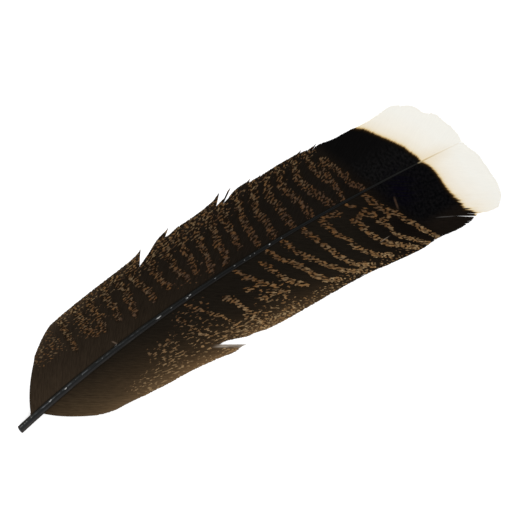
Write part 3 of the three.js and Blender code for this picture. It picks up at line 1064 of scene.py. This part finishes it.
def shaft_mesh(name):
    turn = np.arange(SHAFT_SIDES) / SHAFT_SIDES * 2 * np.pi
    groove = np.exp(-(((turn - 1.5 * np.pi) / GROOVE_HALF_WIDTH) ** 2))
    places, stations, outs, rises = [], [], [], []
    for station, width, depth, slanted in shaft_rings():
        size = 1 - GROOVE_DEPTH * (smooth_step(*GROOVE_FROM, station) * groove)
        out = np.cos(turn) * width * size
        rise = np.sin(turn) * depth * size
        slant = END_CUT_SLANT * out if slanted else 0
        places.append(on_feather(station + slant, out, shaft_height(station) + rise))
        stations.append(np.full(SHAFT_SIDES, station))
        outs.append(out / half_width(station))
        rises.append(rise / half_depth(station))
    points = np.concatenate(places)
    index = np.arange(len(points)).reshape(-1, SHAFT_SIDES)
    after = np.roll(index, -1, 1)
    quads = np.stack([index[:-1], index[1:], after[1:], after[:-1]], -1).reshape(-1, 4)
    faces = [*quads.tolist(), index[0].tolist(), index[-1][::-1].tolist()]
    station, across, rise = (np.concatenate(values) for values in (stations, outs, rises))
    chip = np.zeros(station.shape)
    for place, side, length, depth in SCUFFS:
        beside = (across * half_width(station) - side) / SCUFF_HALF_WIDTH
        away = np.hypot((station - place) / length, beside)
        chip = np.maximum(chip, depth * np.exp(-(away**2)) * (rise > 0))
    fields = {"station": station, "across": across, "rise": rise, "chip": chip}
    mesh = plain_mesh(name, points, [], faces, fields)
    mesh.polygons.foreach_set("use_smooth", [True] * len(faces))
    return mesh


# The horn's tone across the shaft, from the right flank (-1) to the left (1), with painted
# light in it: painted shade darkens both flanks, and the lighter bands near -0.6 and 0.3 are
# painted highlights of the two lamps
HORN_BANDS_WITH_PAINTED_LIGHT = [(-1.0, "#15110e"), (-0.86, "#201c18"), (-0.74, "#2d2a27"), (-0.6, "#333130"),
              (-0.42, "#2b2b2b"), (-0.2, "#202020"), (0.0, "#1f2020"), (0.22, "#282929"),
              (0.38, "#2a2b2b"), (0.55, "#272725"), (0.75, "#22201d"), (1.0, "#171411")]
# How light the horn is along the shaft, 0.5 being the bands' tone as given
HORN_LEVELS = [(0, 0.8), (8, 0.72), (18, 0.55), (50, 0.5), (100, 0.38), (150, 0.29), (200, 0.26),
               (250, 0.22), (275, 0.29), (290, 0.34)]
# Fine scratches: their size across, in half widths, and along, in mm, and their strength
SCRATCH_SIZE = (0.16, 9.0)
SCRATCH_STRENGTH = (1.4, 2.6)
# The painted highlight along the quill, a blue-white line: its place and half width across,
# the size of its pieces and their run of noise, where it has faded out, its strength at the
# quill's end, and its tone
LINE_PLACE = 0.32
LINE_HALF = 0.22
LINE_SIZE = (0.5, 3.5)
LINE_OVER = (0.45, 0.7)
LINE_END = 120.0
LINE_STRENGTH = 0.5
PAINTED_HIGHLIGHT_TONE = "#8d9096"
# The chips: the size and run of the noise that breaks them up, the share it leaves of them,
# and over which depths they turn pale, how pale, and their tone
CHIP_SIZE = (0.3, 0.9)
CHIP_NOISE = (0.3, 0.6)
CHIP_LEFT = 0.4
CHIP_OVER = (0.15, 0.5)
CHIP_STRENGTH = 0.85
CHIP_TONE = "#c9c9c6"
# How far down, in half depths, the pith starts to show and is seen in full
PITH_OVER = (-0.1, -0.6)
PITH_TONE = "#37302a"
# Between which stations the end turns tan and then white
TAN_OVER = (287.0, 291.0)
TAN_TONE = "#dcc594"
WHITE_OVER = (291.0, 311.0)
WHITE_TONE = "#f6f0e2"


def horn_finish():
    """Solid feather keratin, black with melanin and rubbed smooth in use: blue-black horn
    with a low gloss, painted highlights of two soft lights along it, painted shade on its
    flanks, and pale scuffs where it has worn."""
    fields = ("station", "across", "rise", "chip")
    material, tree, field = empty_finish("dark_quill_horn", fields)

    # The horn's tone across the shaft, with its painted highlights and painted shade, and along
    # it, with fine scratches
    side = add(tree, RANGE, (field["across"], -1.0))
    stops = [(0.5 + share / 2, linear(tone)) for share, tone in HORN_BANDS_WITH_PAINTED_LIGHT]
    bands_with_painted_light = add(tree, "ShaderNodeValToRGB", {0: side}, stops=stops)
    run = HORN_LEVELS[-1][0]
    along = add(tree, RANGE, (field["station"], 0.0, run))
    stops = [(mm / run, (level, level, level, 1)) for mm, level in HORN_LEVELS]
    level = add(tree, "ShaderNodeValToRGB", {0: along}, stops=stops)
    places = (field["across"], field["station"])
    scratches = grain(tree, places, SCRATCH_SIZE, 2.0, *NOISE_RUN, *SCRATCH_STRENGTH)
    level = add(tree, PRODUCT, (level, scratches))
    body = add(tree, SCALED, (bands_with_painted_light, level))

    # A painted blue-white highlight line along the quill, and chips
    near = add(tree, DIFFERENCE, (field["across"], LINE_PLACE))
    near = add(tree, ABSOLUTE, {0: near})
    near = add(tree, RANGE, (near, LINE_HALF, 0.0))
    broken = grain(tree, places, LINE_SIZE, 1.0, *LINE_OVER)
    line = add(tree, PRODUCT, (near, broken))
    fading = add(tree, RANGE, (field["station"], 0.0, LINE_END, LINE_STRENGTH, 0.0))
    line = add(tree, PRODUCT, (line, fading))
    body = add(tree, BLEND, (line, body, PAINTED_HIGHLIGHT_TONE))
    rough = grain(tree, places, CHIP_SIZE, 1.0, *CHIP_NOISE, CHIP_LEFT)
    chip = add(tree, PRODUCT, (field["chip"], rough))
    chip = add(tree, RANGE, (chip, *CHIP_OVER, 0.0, CHIP_STRENGTH))
    body = add(tree, BLEND, (chip, body, CHIP_TONE))

    # The underside shows the pith through thinner horn, and the end loses its pigment
    under = add(tree, RANGE, (field["rise"], *PITH_OVER))
    body = add(tree, BLEND, (under, body, PITH_TONE))
    for stations, tone in ((TAN_OVER, TAN_TONE), (WHITE_OVER, WHITE_TONE)):
        fading = add(tree, RANGE, (field["station"], *stations))
        body = add(tree, BLEND, (fading, body, tone))
    surface = {"Base Color": body, "Roughness": 0.45, "IOR": 1.55, "Specular IOR Level": 0.03}
    shader = add(tree, "ShaderNodeBsdfPrincipled", surface)
    add(tree, "ShaderNodeOutputMaterial", {0: shader})
    return material


# The barbs
blades = blade_tree()
SIZES = {"Blade width": 1.8 * MM, "Ridge height": 0.3 * MM, "Belly depth": 0.2 * MM}
for vane, name, node, seed in (
    (LEFT, "left_barbs", "left_vane", 11),
    (RIGHT, "right_barbs", "right_vane", 23),
):
    finish = barb_finish(name.replace("barbs", "barb_keratin"), vane)
    points, fields = barb_guides(vane, seed)
    guides = guide_mesh(name + "_guides", points, fields)
    piece = blades_on(blades, name, guides, finish, SIZES)
    strip_map(piece.data, len(points))
    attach(piece, "root")
    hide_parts(node)

shaft = put_in_scene("shaft_horn", shaft_mesh("shaft_horn"))
shaft.data.materials.append(horn_finish())
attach(shaft, "root")
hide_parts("shaft")

# Floor, light and camera. Lamps and floor are in metres, degrees and watts.
FLOOR_SIZE = 8
FLOOR_DROP = 0.0001
PAPER = (0.9, 0.9, 0.9, 1)
PAPER_GLOW = 0.5
WHITE = (1, 1, 1, 1)
WORLD_STRENGTH = 0.35
LAMP_SIZE = 0.9
LAMP_POWER = 7.1
LAMP_AWAY = 1.2
LAMP_ELEVATION = 42
# How far the feather is turned in the view, the width of the view and the point it is centred
# on, in mm, and the camera's lens and sensor, in mm
CHORD_ANGLE = math.radians(33.164)
VIEW_WIDTH = 307.2
VIEW_CENTRE = (14.55, 5.69, 3)
LENS = 85
SENSOR = 36

bpy.ops.mesh.primitive_plane_add(size=FLOOR_SIZE)
floor = bpy.context.object
floor.name = "floor"
floor.location.z = -FLOOR_DROP
paper = bpy.data.materials.new("white_paper")
paper.use_nodes = True
surface = paper.node_tree.nodes["Principled BSDF"].inputs
surface["Base Color"].default_value = PAPER
surface["Emission Color"].default_value = WHITE
surface["Emission Strength"].default_value = PAPER_GLOW
floor.data.materials.append(paper)

world = bpy.data.worlds.new("studio")
bpy.context.scene.world = world
world.use_nodes = True
sky = world.node_tree.nodes["Background"].inputs
sky["Color"].default_value = WHITE
sky["Strength"].default_value = WORLD_STRENGTH
for name, azimuth in (("left_lamp", 215), ("right_lamp", 35)):
    lamp = bpy.data.lights.new(name, "AREA")
    lamp.size = LAMP_SIZE
    lamp.energy = LAMP_POWER
    holder = put_in_scene(name, lamp)
    a, e = math.radians(azimuth), math.radians(LAMP_ELEVATION)
    level = LAMP_AWAY * math.cos(e)
    holder.location = (level * math.cos(a), level * math.sin(a), LAMP_AWAY * math.sin(e))
    holder.rotation_euler = (math.pi / 2 - e, 0, a + math.pi / 2)

bpy.context.scene.view_settings.view_transform = "Standard"
camera_data = bpy.data.cameras.new("camera")
camera_data.lens = LENS
camera_data.sensor_width = SENSOR
camera = put_in_scene("camera", camera_data)
x, y, height = VIEW_CENTRE
camera.location = (x * MM, y * MM, (VIEW_WIDTH * LENS / SENSOR + height) * MM)
camera.rotation_euler = (0, 0, -CHORD_ANGLE)
bpy.context.scene.camera = camera
